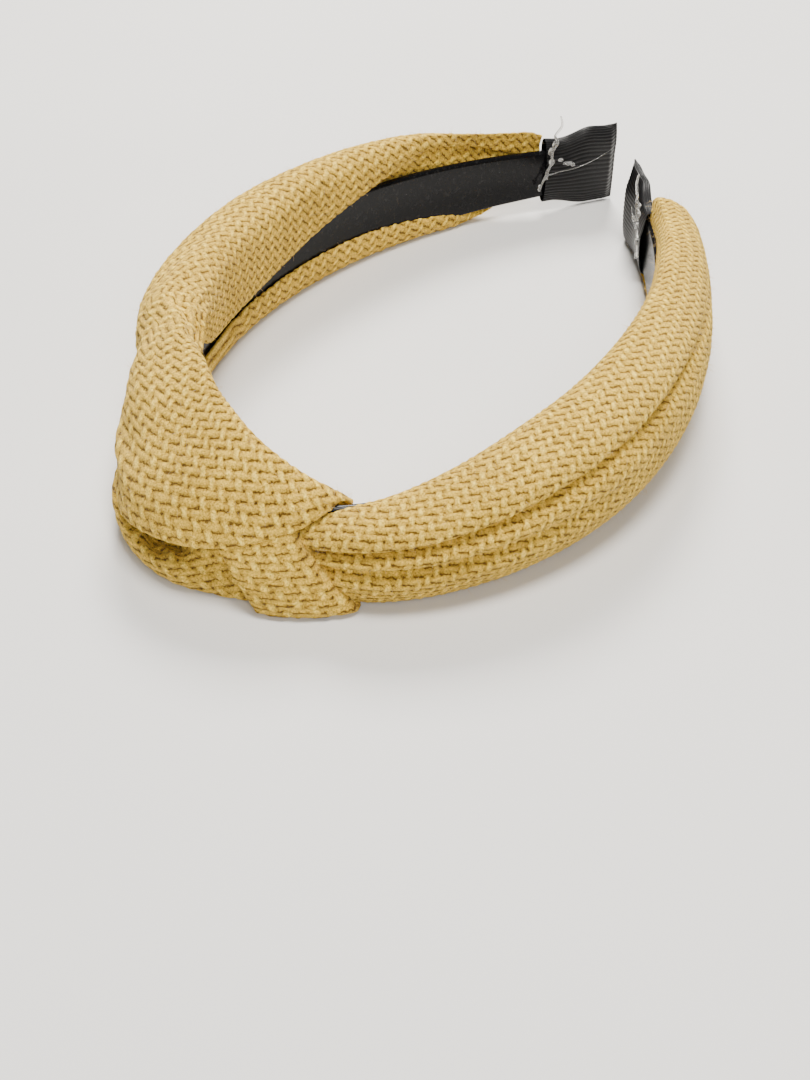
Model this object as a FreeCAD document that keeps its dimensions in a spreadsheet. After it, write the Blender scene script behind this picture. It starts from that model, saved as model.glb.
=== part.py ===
import FreeCAD, Part
import math
import os
import Sketcher

# A knotted hairband that lies on its side: a springy C-shaped core strip, two sleeves
# of thick woven cloth, the cloth knot at the crown, and a ribbon cap on each tip.
#
# Band frame, in millimetres: the origin is the middle of the crown on the core's centre
# line, +Y runs to the opening between the tips, +X to the right arm, and Z is the
# width of the band, with the surface that it lies on at Z = 0.

DIMENSIONS = (
    # The core strip and its centre line: tangent arcs, then a straight run to the tip.
    ("core_thickness", 1.8),
    ("core_width", 18.0),
    ("core_tip_width", 11.0),
    ("core_middle", 10.4),
    ("core_taper_start", 90.0),
    ("core_tip_corner", 4.0),
    ("crown_radius", 35.0),
    ("crown_half_angle", 56.0),
    ("right_side_radius", 81.0),
    ("right_side_angle", 34.0),
    ("right_end_radius", 104.0),
    ("right_end_angle", 39.0),
    ("right_straight", 22.0),
    ("left_side_radius", 95.0),
    ("left_side_angle", 36.5),
    ("left_end_radius", 113.0),
    ("left_end_angle", 32.5),
    ("left_straight", 27.5),
    # The spring of the arms: how far each one opens from rest, and the joint's gap.
    ("arm_opening", 22.0),
    ("joint_gap", 0.7),
    # The cloth: the fold over the core, and the clearance between cloth and core.
    ("cloth_inside", 2.9),
    ("cloth_clearance", 0.25),
    ("bottom_roll", 7.4),
    ("lip_start", 60.0),
    ("lip_start_height", 10.0),
    ("lip_slope", 0.33),
    ("slot_start", 52.0),
    # The ribbon caps over the tips.
    ("ribbon_width", 20.4),
    ("ribbon_length", 16.0),
    ("ribbon_thickness", 0.9),
    ("ribbon_clearance", 0.1),
    ("ribbon_gap", 0.4),
    # The knot: the edge of the over-wrap, the crease of the tongue, the roll's pocket.
    ("wrap_edge_height", 12.5),
    ("wrap_edge_slope", 0.2),
    ("tongue_crease_offset", 7.7),
    ("tongue_crease_slope", 0.72),
    ("roll_offset", -4.5),
    ("pocket_radius", 3.2),
    ("pocket_depth", 7.0),
    ("piece_gap", 0.15),
    # The glue beads at the ends of the sleeves.
    ("glue_length", 3.0),
    ("glue_height", 4.6),
    ("glue_proud", 1.5),
    ("string_radius", 0.4),
    ("string_length", 12.0),
    # The glue films between the cloth and the core's inner face.
    ("film_thickness", 0.18),
    ("film_width", 2.6),
    ("knot_film_reach", 12.0),
)

# Sleeve sections along the arms, from the knot to the ribbon:
# (distance along the core from the crown, height of the cloth, how far it bulges outward).
# The last one has no distance, because the sleeve ends where the ribbon begins.
RIGHT_SECTIONS = ((34.4, 20.8, 11.4), (60.0, 27.0, 15.0), (95.0, 30.0, 15.8), (130.0, 27.5, 12.4),
                  (None, 21.5, 8.0))
LEFT_SECTIONS = ((34.4, 33.0, 5.0), (60.0, 30.6, 9.8), (95.0, 30.0, 10.4), (130.0, 27.6, 8.8),
                 (None, 21.4, 3.2))
# Sections of the knot from left to right: the same, and how far it bulges inward.
KNOT_SECTIONS = ((-33.6, 33.0, 5.0, 3.2), (-22.0, 32.0, 9.5, 5.5), (-11.0, 30.5, 13.0, 7.0),
                 (0.0, 28.5, 14.0, 7.5), (11.0, 26.5, 13.5, 6.5), (22.0, 24.0, 12.0, 4.8),
                 (33.6, 21.5, 11.0, 3.2))

SECTION_POINTS = 20
SECTION_SQUARENESS = 0.72
FLOOR_BITE = 0.5
NO_TURN = 1e-6
# Blocks that only cut away or divide other shapes reach past them by these amounts.
FAR = 90.0
BELOW = -5.0
WEDGE_BACK = 60.0
WEDGE_INWARD = 30.0
WEDGE_OUTWARD = 40.0
PAST_TIP = 10.0
CHANNEL_SPARE = 3.0
# The pocket in the rolled end: the middle of its mouth and the way that it leads in.
POCKET_MOUTH = (-10.5, -14.5, 7.0)
POCKET_INWARD = (0.75, 0.66, 0.0)
POCKET_LEAD_IN = 4.0
# The glue bead sits a little past the seam and above the core's middle height.
BEAD_PAST_SEAM = 1.0
BEAD_ABOVE_MIDDLE = 3.0
STRING_INSET = 0.6
FILM_GAP = 0.03
FILM_BELOW_CORE = 1.0


def make_sheet(document):
    """The driving dimensions, one row each: name and value."""
    sheet = document.addObject("Spreadsheet::Sheet", "dims")
    for row, (alias, value) in enumerate(DIMENSIONS, start=1):
        sheet.set("A%d" % row, alias)
        sheet.set("B%d" % row, str(value))
        sheet.setAlias("B%d" % row, alias)
    document.recompute()
    return sheet


doc = FreeCAD.newDocument("knotted_hairband")
dims = make_sheet(doc)


def dim(alias):
    return float(dims.get(alias))


def centre_line(side):
    """Segments of one arm's centre line, as (radius, angle in radians, length).

    The straight run has radius 0. Both arms are described turning left, as the right
    arm does, and the left arm is mirrored when its points are placed.
    """
    segments = [(dim("crown_radius"), math.radians(dim("crown_half_angle")))]
    for part in ("side", "end"):
        radius = dim("%s_%s_radius" % (side, part))
        angle = math.radians(dim("%s_%s_angle" % (side, part)))
        segments.append((radius, angle))
    line = [(radius, angle, radius * angle) for radius, angle in segments]
    line.append((0.0, 0.0, dim("%s_straight" % side)))
    return line


LINES = {"right": centre_line("right"), "left": centre_line("left")}
MIRROR = {"right": 1.0, "left": -1.0}


def line_length(side):
    return sum(length for _, _, length in LINES[side])


def station(side, distance):
    """Position and heading on the centre line, before the left arm is mirrored."""
    x, y, heading = 0.0, 0.0, 0.0
    left = distance
    for radius, angle, length in LINES[side]:
        if radius == 0.0:
            break
        turn = min(left / radius, angle)
        x += radius * (math.sin(heading + turn) - math.sin(heading))
        y += radius * (math.cos(heading) - math.cos(heading + turn))
        heading += turn
        left -= min(left, length)
    return x + left * math.cos(heading), y + left * math.sin(heading), heading


def place_point(side, distance, outward, height):
    """A point beside the centre line: so far along, outward and up."""
    x, y, heading = station(side, distance)
    x += outward * math.sin(heading)
    y -= outward * math.cos(heading)
    return FreeCAD.Vector(MIRROR[side] * x, y, height)


def section_wire(side, distance, height, outward, inward):
    """A rounded closed section of the cloth, from the floor bite up to its height."""
    mid_out = 0.5 * (outward - inward)
    half_out = 0.5 * (outward + inward)
    mid_up = 0.5 * (height - FLOOR_BITE)
    half_up = 0.5 * (height + FLOOR_BITE)
    points = []
    for step in range(SECTION_POINTS):
        angle = 2.0 * math.pi * step / SECTION_POINTS
        cosine, sine = math.cos(angle), math.sin(angle)
        off = mid_out + half_out * math.copysign(abs(cosine) ** SECTION_SQUARENESS, cosine)
        up = mid_up + half_up * math.copysign(abs(sine) ** SECTION_SQUARENESS, sine)
        points.append(place_point(side, distance, off, up))
    curve = Part.BSplineCurve()
    curve.interpolate(Points=points, PeriodicFlag=True)
    return Part.Wire([curve.toShape()])


def above_floor(shape):
    """Flatten the underside where the cloth lies on the surface."""
    slab = Part.makeBox(4 * FAR, 4 * FAR, FAR, FreeCAD.Vector(-2 * FAR, -2 * FAR, 0.0))
    return shape.common(slab)


def prism(corners, low, high):
    """A straight-sided prism over a closed outline of points in plan."""
    outline = Part.makePolygon(corners + corners[:1])
    face = Part.Face(outline)
    face.translate(FreeCAD.Vector(0, 0, low))
    return face.extrude(FreeCAD.Vector(0, 0, high - low))


def strip(side, start, end, inner, outer, low, high):
    """A prism that follows the centre line, between two offsets and two heights."""
    breaks = [start]
    total = 0.0
    for _, _, length in LINES[side]:
        total += length
        if start < total < end:
            breaks.append(total)
    breaks.append(end)
    pieces = []
    for first, last in zip(breaks, breaks[1:]):
        middle = 0.5 * (first + last)
        rails = []
        for offset in (inner, outer):
            ends = [place_point(side, s, offset, low) for s in (first, middle, last)]
            rails.append(ends)
        edges = []
        for ends in rails:
            straight = math.isclose(station(side, first)[2], station(side, last)[2], abs_tol=NO_TURN)
            if straight:
                edges.append(Part.makeLine(ends[0], ends[2]))
            else:
                edges.append(Part.Arc(*ends).toShape())
        edges.append(Part.makeLine(rails[0][0], rails[1][0]))
        edges.append(Part.makeLine(rails[0][2], rails[1][2]))
        face = Part.Face(Part.Wire(Part.__sortEdges__(edges)))
        pieces.append(face.extrude(FreeCAD.Vector(0, 0, high - low)))
    joined = pieces[0]
    for piece in pieces[1:]:
        joined = joined.fuse(piece)
    return joined


def core_channel(side, start, end):
    """The space that the core strip and its clearance take up inside the cloth."""
    half = 0.5 * dim("core_thickness") + dim("cloth_clearance")
    low = dim("core_middle") - 0.5 * dim("core_width") - dim("cloth_clearance")
    high = dim("core_middle") + 0.5 * dim("core_width") + dim("cloth_clearance")
    return strip(side, start, end, -half, half, low, high)


def opening_wedge(side):
    """Cloth left out beside the joint, so that the arm can open without a clash."""
    gap = 0.5 * dim("joint_gap")
    spread = WEDGE_OUTWARD * math.tan(math.radians(dim("arm_opening") + 1.0))
    hinge_at = LINES[side][0][2]
    x, y, heading = station(side, hinge_at)
    outline = ((-WEDGE_BACK, -WEDGE_INWARD), (gap, -WEDGE_INWARD), (gap, 0.0),
               (gap + spread, WEDGE_OUTWARD), (-WEDGE_BACK, WEDGE_OUTWARD))
    corners = []
    for along, out in outline:
        px = x + along * math.cos(heading) + out * math.sin(heading)
        py = y + along * math.sin(heading) - out * math.cos(heading)
        corners.append(FreeCAD.Vector(MIRROR[side] * px, py, 0.0))
    return prism(corners, BELOW, FAR)


def below_plane(height, slope, axis_x):
    """A big block under a plane that rises along Y, or along X when axis_x is set."""
    block = Part.makeBox(4 * FAR, 4 * FAR, FAR, FreeCAD.Vector(-2 * FAR, -2 * FAR, -FAR))
    tilt = math.degrees(math.atan(slope))
    if axis_x:
        block.rotate(FreeCAD.Vector(), FreeCAD.Vector(0, 1, 0), -tilt)
    else:
        block.rotate(FreeCAD.Vector(), FreeCAD.Vector(1, 0, 0), tilt)
    block.translate(FreeCAD.Vector(0, 0, height))
    return block


def sleeve_end(side):
    return line_length(side) - dim("ribbon_length") - dim("ribbon_gap")


def sleeve(side, sections):
    """One arm's cloth: a rounded tube with the core's channel and the inner slot."""
    end = sleeve_end(side)
    wires = []
    for distance, height, outward in sections:
        place = end if distance is None else distance
        wires.append(section_wire(side, place, height, outward, dim("cloth_inside")))
    tube = above_floor(Part.makeLoft(wires, True, False))
    tube = tube.cut(core_channel(side, sections[0][0] - CHANNEL_SPARE, end + CHANNEL_SPARE))
    slot = strip(side, dim("slot_start"), end + CHANNEL_SPARE, -3 * dim("cloth_inside"), 0.0,
                 dim("bottom_roll"), dim("core_middle") + 0.5 * dim("core_width"))
    lip_height = dim("lip_start_height") - dim("lip_slope") * dim("lip_start")
    slot = slot.common(below_plane(lip_height, dim("lip_slope"), False))
    return tube.cut(slot).cut(opening_wedge(side))


def knot_form():
    """The whole knot before it is divided into its passes of cloth."""
    wires = []
    for distance, height, outward, inward in KNOT_SECTIONS:
        side = "left" if distance < 0.0 else "right"
        wire = section_wire(side, abs(distance), height, outward, inward)
        wires.append(wire)
    form = above_floor(Part.makeLoft(wires, True, False))
    for side in ("left", "right"):
        form = form.cut(core_channel(side, 0.0, LINES[side][0][2] + CHANNEL_SPARE))
    return form


def knot_passes():
    """The knot's pieces, divided along the folds that show on its face."""
    gap = dim("piece_gap")
    form = knot_form()
    edge, slope = dim("wrap_edge_height"), dim("wrap_edge_slope")
    over_wrap = form.cut(below_plane(edge + gap, slope, True))
    rest = form.common(below_plane(edge - gap, slope, True))
    centre = FreeCAD.Vector(0.0, dim("crown_radius"), BELOW)
    wall = 0.5 * dim("core_thickness") + dim("cloth_clearance")
    head_side = Part.makeCylinder(dim("crown_radius") - wall, FAR, centre)
    inner_pass = rest.common(head_side)
    outer = rest.cut(Part.makeCylinder(dim("crown_radius") - wall + gap, FAR, centre))
    crease = dim("tongue_crease_slope")
    crease_x = dim("tongue_crease_offset") + edge * crease
    right_of_crease = [(crease_x - crease * BELOW, BELOW), (FAR, BELOW), (FAR, FAR),
                       (crease_x - crease * FAR, FAR)]
    tongue_block = upright_block(right_of_crease)
    roll_x = dim("roll_offset")
    roll_block = upright_block([(roll_x, BELOW), (-FAR, BELOW), (-FAR, FAR), (roll_x, FAR)])
    tongue = outer.common(tongue_block)
    roll = outer.common(roll_block)
    lower_pass = keep_largest(outer.cut(tongue_block).cut(roll_block))
    roll = roll.cut(pocket_bore())
    return {"knot_over_wrap": over_wrap, "knot_inner_pass": inner_pass, "knot_tongue": tongue,
            "knot_roll": roll, "knot_lower_pass": lower_pass}


def pocket_bore():
    """The small hollow in the rolled end, open to the front and a little to the left."""
    inward = FreeCAD.Vector(*POCKET_INWARD)
    start = FreeCAD.Vector(*POCKET_MOUTH) - inward * POCKET_LEAD_IN
    return Part.makeCylinder(dim("pocket_radius"), dim("pocket_depth") + POCKET_LEAD_IN, start, inward)


def upright_block(corners):
    """A block that is deep in Y, over an outline given as (x, z) points."""
    points = [FreeCAD.Vector(x, -2 * FAR, z) for x, z in corners]
    face = Part.Face(Part.makePolygon(points + points[:1]))
    return face.extrude(FreeCAD.Vector(0, 4 * FAR, 0))


def keep_largest(shape):
    return max(shape.Solids, key=lambda solid: solid.Volume)


def origin_plane(body, role):
    for feature in body.Origin.OriginFeatures:
        if feature.Role == role:
            return feature
    raise ValueError("no origin plane called " + role)


def new_body(label):
    body = doc.addObject("PartDesign::Body", label)
    body.Label = label
    return body


def new_sketch(body, name, role):
    sketch = body.newObject("Sketcher::SketchObject", name)
    sketch.AttachmentSupport = (origin_plane(body, role), [""])
    sketch.MapMode = "FlatFace"
    return sketch


def bind(sketch, constraint, name, expression):
    """Add a sketch constraint and drive it from the sheet."""
    index = sketch.addConstraint(constraint)
    sketch.renameConstraint(index, name)
    sketch.setExpression("Constraints." + name, expression)


def arc(centre, radius, start, end):
    circle = Part.Circle(FreeCAD.Vector(centre[0], centre[1], 0), FreeCAD.Vector(0, 0, 1), radius)
    return Part.ArcOfCircle(circle, start, end)


def crown_sketch(body):
    """Plan outline of the crown: two arcs about one centre, closed by radial ends."""
    sketch = new_sketch(body, "crown_plan", "XY_Plane")
    radius = dim("crown_radius")
    half = 0.5 * dim("core_thickness")
    reach = math.radians(dim("crown_half_angle")) - 0.5 * dim("joint_gap") / radius
    first, last = -0.5 * math.pi - reach, -0.5 * math.pi + reach
    outer = sketch.addGeometry(arc((0.0, radius), radius + half, first, last))
    inner = sketch.addGeometry(arc((0.0, radius), radius - half, first, last))
    ends = []
    for angle in (first, last):
        near = FreeCAD.Vector((radius - half) * math.cos(angle), radius + (radius - half) * math.sin(angle), 0)
        far = FreeCAD.Vector((radius + half) * math.cos(angle), radius + (radius + half) * math.sin(angle), 0)
        ends.append(sketch.addGeometry(Part.LineSegment(near, far)))
    for end, vertex in zip(ends, (1, 2)):
        sketch.addConstraint(Sketcher.Constraint("Coincident", end, 1, inner, vertex))
        sketch.addConstraint(Sketcher.Constraint("Coincident", end, 2, outer, vertex))
    sketch.addConstraint(Sketcher.Constraint("Coincident", outer, 3, inner, 3))
    sketch.addConstraint(Sketcher.Constraint("PointOnObject", outer, 3, -2))
    bind(sketch, Sketcher.Constraint("DistanceY", -1, 1, outer, 3, radius), "centre", "dims.crown_radius")
    bind(sketch, Sketcher.Constraint("Radius", outer, radius + half), "outer_radius",
         "dims.crown_radius + dims.core_thickness / 2")
    bind(sketch, Sketcher.Constraint("Radius", inner, radius - half), "inner_radius",
         "dims.crown_radius - dims.core_thickness / 2")
    return sketch


def arm_sketch(body, side):
    """Plan outline of one arm: two arcs and a straight run on each face."""
    sketch = new_sketch(body, side + "_arm_plan", "XY_Plane")
    half = 0.5 * dim("core_thickness")
    mirror = MIRROR[side]
    crown_length, side_length, end_length, straight = [part[2] for part in LINES[side]]
    begin = crown_length + 0.5 * dim("joint_gap")
    joints = [begin, crown_length + side_length, crown_length + side_length + end_length]
    rails = {}
    for face, offset in (("outer", half), ("inner", -half)):
        chain = []
        for number, part in enumerate(("side", "end")):
            radius = dim("%s_%s_radius" % (side, part))
            x, y, heading = station(side, joints[number])
            heading_end = station(side, joints[number + 1])[2]
            centre = (mirror * (x - radius * math.sin(heading)), y + radius * math.cos(heading))
            first, last = heading - 0.5 * math.pi, heading_end - 0.5 * math.pi
            if mirror < 0.0:
                first, last = math.pi - last, math.pi - first
            chain.append(sketch.addGeometry(arc(centre, radius + offset, first, last)))
            bind(sketch, Sketcher.Constraint("Radius", chain[-1], radius + offset),
                 "%s_%s_radius" % (face, part),
                 "dims.%s_%s_radius %s dims.core_thickness / 2" % (side, part, "+" if offset > 0 else "-"))
        start = place_point(side, joints[2], offset, 0.0)
        finish = place_point(side, joints[2] + straight, offset, 0.0)
        chain.append(sketch.addGeometry(Part.LineSegment(start, finish)))
        bind(sketch, Sketcher.Constraint("Distance", chain[-1], straight), face + "_straight",
             "dims.%s_straight" % side)
        rails[face] = chain
    near, far = (1, 2) if mirror > 0.0 else (2, 1)
    for chain in rails.values():
        sketch.addConstraint(Sketcher.Constraint("Coincident", chain[0], far, chain[1], near))
        sketch.addConstraint(Sketcher.Constraint("Coincident", chain[1], far, chain[2], 1))
    root = sketch.addGeometry(Part.LineSegment(place_point(side, begin, -half, 0.0),
                                               place_point(side, begin, half, 0.0)))
    tip = sketch.addGeometry(Part.LineSegment(place_point(side, joints[2] + straight, -half, 0.0),
                                              place_point(side, joints[2] + straight, half, 0.0)))
    sketch.addConstraint(Sketcher.Constraint("Coincident", root, 1, rails["inner"][0], near))
    sketch.addConstraint(Sketcher.Constraint("Coincident", root, 2, rails["outer"][0], near))
    sketch.addConstraint(Sketcher.Constraint("Coincident", tip, 1, rails["inner"][2], 2))
    sketch.addConstraint(Sketcher.Constraint("Coincident", tip, 2, rails["outer"][2], 2))
    return sketch


def pad(body, sketch, expression):
    feature = body.newObject("PartDesign::Pad", sketch.Name + "_pad")
    feature.Profile = sketch
    feature.SideType = "Symmetric"
    feature.setExpression("Length", expression)
    return feature


def taper_pocket(body, side):
    """Narrow the strip towards its tip, equally at its top and bottom edges."""
    sketch = new_sketch(body, side + "_taper", "YZ_Plane")
    tip_y = place_point(side, line_length(side), 0.0, 0.0).y
    start = dim("core_taper_start")
    wide = 0.5 * dim("core_width")
    narrow = 0.5 * dim("core_tip_width")
    reach = tip_y + PAST_TIP
    drop = (wide - narrow) * (reach - start) / (tip_y - start)
    for up in (1.0, -1.0):
        corners = [FreeCAD.Vector(start, up * wide, 0), FreeCAD.Vector(reach, up * wide, 0),
                   FreeCAD.Vector(reach, up * (wide - drop), 0)]
        sides = []
        for first, last in zip(corners, corners[1:] + corners[:1]):
            sides.append(sketch.addGeometry(Part.LineSegment(first, last)))
        for number, line in enumerate(sides):
            following = sides[(number + 1) % len(sides)]
            sketch.addConstraint(Sketcher.Constraint("Coincident", line, 2, following, 1))
        sketch.addConstraint(Sketcher.Constraint("Horizontal", sides[0]))
        sketch.addConstraint(Sketcher.Constraint("Vertical", sides[1]))
        name = "taper_start_top" if up > 0.0 else "taper_start_bottom"
        bind(sketch, Sketcher.Constraint("DistanceX", -1, 1, sides[0], 1, start), name,
             "dims.core_taper_start")
    pocket = body.newObject("PartDesign::Pocket", side + "_taper_pocket")
    pocket.Profile = sketch
    pocket.Type = "Length"
    pocket.SideType = "Symmetric"
    pocket.Length = 3 * FAR
    return pocket


def make_core_crown():
    body = new_body("core_crown")
    sketch = crown_sketch(body)
    body.Tip = pad(body, sketch, "dims.core_width")
    return body


def make_core_arm(side):
    body = new_body("core_%s_arm" % side)
    sketch = arm_sketch(body, side)
    full = pad(body, sketch, "dims.core_width")
    doc.recompute()
    before = full.Shape.Volume
    pocket = taper_pocket(body, side)
    body.Tip = pocket
    doc.recompute()
    if pocket.Shape.Volume > 0.99 * before:
        raise RuntimeError("the taper of core_%s_arm cuts nothing" % side)
    rounding = body.newObject("PartDesign::Fillet", side + "_tip_corners")
    rounding.Base = (pocket, tip_edges(side, pocket.Shape))
    rounding.setExpression("Radius", "dims.core_tip_corner")
    body.Tip = rounding
    return body


def tip_edges(side, shape):
    """The two short edges across the strip at the corners of its tip."""
    tip = place_point(side, line_length(side), 0.0, 0.0)
    names = []
    for number, edge in enumerate(shape.Edges, start=1):
        middle = edge.CenterOfMass
        flat_gap = math.hypot(middle.x - tip.x, middle.y - tip.y)
        across = abs(edge.Length - dim("core_thickness")) < 0.2
        if flat_gap < 0.6 and across:
            names.append("Edge%d" % number)
    return names


def make_ribbon(side):
    """A ribbon folded round the tip: a hairpin in plan, as wide as the ribbon.

    Its own frame has the tip's end at the origin and the strip running along -X.
    """
    body = new_body("ribbon_" + side)
    sketch = new_sketch(body, side + "_hairpin", "XY_Plane")
    inside = 0.5 * dim("core_thickness") + dim("ribbon_clearance")
    outside = inside + dim("ribbon_thickness")
    reach = -dim("ribbon_length")
    fold = dim("ribbon_clearance")
    lines = {}
    for name, half in (("outer", outside), ("inner", inside)):
        lines[name + "_top"] = sketch.addGeometry(
            Part.LineSegment(FreeCAD.Vector(reach, half, 0), FreeCAD.Vector(fold, half, 0)))
        lines[name + "_low"] = sketch.addGeometry(
            Part.LineSegment(FreeCAD.Vector(reach, -half, 0), FreeCAD.Vector(fold, -half, 0)))
        lines[name + "_arc"] = sketch.addGeometry(arc((fold, 0.0), half, -0.5 * math.pi, 0.5 * math.pi))
        sketch.addConstraint(Sketcher.Constraint("Tangent", lines[name + "_top"], 2, lines[name + "_arc"], 2))
        sketch.addConstraint(Sketcher.Constraint("Tangent", lines[name + "_low"], 2, lines[name + "_arc"], 1))
        sketch.addConstraint(Sketcher.Constraint("Horizontal", lines[name + "_top"]))
    for level in ("top", "low"):
        sign = 1.0 if level == "top" else -1.0
        cap = sketch.addGeometry(Part.LineSegment(FreeCAD.Vector(reach, sign * inside, 0),
                                                  FreeCAD.Vector(reach, sign * outside, 0)))
        sketch.addConstraint(Sketcher.Constraint("Coincident", cap, 1, lines["inner_" + level], 1))
        sketch.addConstraint(Sketcher.Constraint("Coincident", cap, 2, lines["outer_" + level], 1))
        sketch.addConstraint(Sketcher.Constraint("Vertical", cap))
        bind(sketch, Sketcher.Constraint("DistanceX", cap, 1, -1, 1, -reach), level + "_length",
             "dims.ribbon_length")
    sketch.addConstraint(Sketcher.Constraint("Coincident", lines["outer_arc"], 3, lines["inner_arc"], 3))
    sketch.addConstraint(Sketcher.Constraint("PointOnObject", lines["outer_arc"], 3, -1))
    bind(sketch, Sketcher.Constraint("Radius", lines["inner_arc"], inside), "inside",
         "dims.core_thickness / 2 + dims.ribbon_clearance")
    bind(sketch, Sketcher.Constraint("Radius", lines["outer_arc"], outside), "outside",
         "dims.core_thickness / 2 + dims.ribbon_clearance + dims.ribbon_thickness")
    body.Tip = pad(body, sketch, "dims.ribbon_width")
    x, y, heading = station(side, line_length(side))
    angle = math.degrees(heading) if side == "right" else 180.0 - math.degrees(heading)
    turn = FreeCAD.Rotation(FreeCAD.Vector(0, 0, 1), angle)
    body.Placement = FreeCAD.Placement(FreeCAD.Vector(MIRROR[side] * x, y, 0.0), turn)
    return body


def make_cloth(label, shape):
    """A soft piece: its shape is lofted from measured sections, so it is a plain feature."""
    feature = doc.addObject("Part::Feature", label)
    feature.Label = label
    feature.Shape = shape
    return feature


def make_glue(side, neighbours):
    """A set bead of hot-melt glue where the ribbon meets the cloth, on the head side."""
    junction = line_length(side) - dim("ribbon_length") - 0.5 * dim("ribbon_gap")
    skin = -0.5 * dim("core_thickness") - dim("ribbon_clearance") - dim("ribbon_thickness")
    height = dim("core_middle") + BEAD_ABOVE_MIDDLE
    place = junction + BEAD_PAST_SEAM
    _, _, heading = station(side, junction)
    angle = math.degrees(heading) if side == "right" else 180.0 - math.degrees(heading)
    turn = FreeCAD.Rotation(FreeCAD.Vector(0, 0, 1), angle)
    bead = doc.addObject("Part::Ellipsoid", side + "_bead")
    bead.setExpression("Radius1", "dims.glue_proud")
    bead.setExpression("Radius2", "dims.glue_length")
    bead.setExpression("Radius3", "dims.glue_height")
    upright = FreeCAD.Rotation(FreeCAD.Vector(1, 0, 0), 90)
    bead.Placement = FreeCAD.Placement(place_point(side, place, skin, height), turn * upright)
    string = doc.addObject("Part::Cylinder", side + "_string")
    string.setExpression("Radius", "dims.string_radius")
    string.setExpression("Height", "dims.string_length")
    string.Placement = FreeCAD.Placement(place_point(side, place, skin - STRING_INSET, height),
                                         FreeCAD.Rotation())
    joined = doc.addObject("Part::Fuse", side + "_glue_mass")
    joined.Base = bead
    joined.Tool = string
    doc.recompute()
    shape = joined.Shape
    for neighbour in neighbours:
        shape = shape.cut(neighbour)
    feature = doc.addObject("Part::Feature", "glue_" + side)
    feature.Label = "glue_" + side
    feature.Shape = keep_largest(shape)
    return feature


def arm_film(side):
    """The glue that holds the bottom roll to the core's inner face."""
    near = -0.5 * dim("core_thickness") - FILM_GAP
    low = dim("core_middle") - 0.5 * dim("core_tip_width") - FILM_BELOW_CORE
    return strip(side, dim("slot_start"), sleeve_end(side), near - dim("film_thickness"), near,
                 low, low + dim("film_width"))


def knot_film():
    """The glue that fixes the knot behind the crown."""
    near = -0.5 * dim("core_thickness") - FILM_GAP
    halves = []
    for side in ("left", "right"):
        halves.append(strip(side, 0.0, dim("knot_film_reach"), near - dim("film_thickness"), near,
                            dim("core_middle") - dim("film_width"), dim("core_middle") + dim("film_width")))
    return halves[0].fuse(halves[1]).removeSplitter()


def lift(body):
    """Raise a body modelled about the core's middle height to where it lies."""
    base = body.Placement.Base
    body.Placement = FreeCAD.Placement(FreeCAD.Vector(base.x, base.y, dim("core_middle")),
                                       body.Placement.Rotation)


def whole_box(features):
    box = FreeCAD.BoundBox()
    for feature in features:
        box.add(feature.Shape.optimalBoundingBox(False, False))
    return box


def check_document():
    for thing in doc.Objects:
        if "Invalid" in thing.State or "Error" in thing.State:
            raise RuntimeError(thing.Label + " failed: " + str(thing.State))


def build():
    features = [make_core_crown()]
    for side in ("left", "right"):
        features.append(make_core_arm(side))
        features.append(make_ribbon(side))
    for body in features:
        lift(body)
    doc.recompute()
    for side, sections in (("left", LEFT_SECTIONS), ("right", RIGHT_SECTIONS)):
        features.append(make_cloth("cover_" + side, sleeve(side, sections)))
        features.append(make_cloth("glue_film_" + side, arm_film(side)))
    for label, shape in knot_passes().items():
        features.append(make_cloth(label, shape))
    features.append(make_cloth("glue_film_knot", knot_film()))
    doc.recompute()
    solids = {feature.Label: feature for feature in features}
    for side in ("left", "right"):
        near = [solids[name].Shape for name in ("core_%s_arm" % side, "ribbon_" + side, "cover_" + side)]
        features.append(make_glue(side, near))
    doc.recompute()
    return features


def place_and_write(features):
    """Centre the part over its footprint, check every piece and write it."""
    box = whole_box(features)
    shift = FreeCAD.Vector(-0.5 * (box.XMin + box.XMax), -0.5 * (box.YMin + box.YMax), 0.0)
    for feature in features:
        place = feature.Placement
        feature.Placement = FreeCAD.Placement(place.Base + shift, place.Rotation)
    doc.recompute()
    check_document()
    os.makedirs("parts", exist_ok=True)
    for feature in features:
        shape = feature.Shape
        if shape.isNull() or not shape.isValid() or len(shape.Solids) != 1:
            raise RuntimeError(feature.Label + " is not one valid solid")
        shape.exportStep("parts/%s.step" % feature.Label)
        size = shape.optimalBoundingBox(False, False)
        print("%-16s %9.1f mm3  x %.1f..%.1f  y %.1f..%.1f  z %.1f..%.1f" % (
            feature.Label, shape.Volume, size.XMin, size.XMax, size.YMin, size.YMax, size.ZMin, size.ZMax))
    for side in ("left", "right"):
        hinge = place_point(side, LINES[side][0][2], 0.0, dim("core_middle")) + shift
        print("%s joint at %.3f %.3f %.3f" % (side, hinge.x, hinge.y, hinge.z))
        print("%s strip length %.1f" % (side, line_length(side)))
    print("shift %.3f %.3f" % (shift.x, shift.y))


place_and_write(build())
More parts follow.
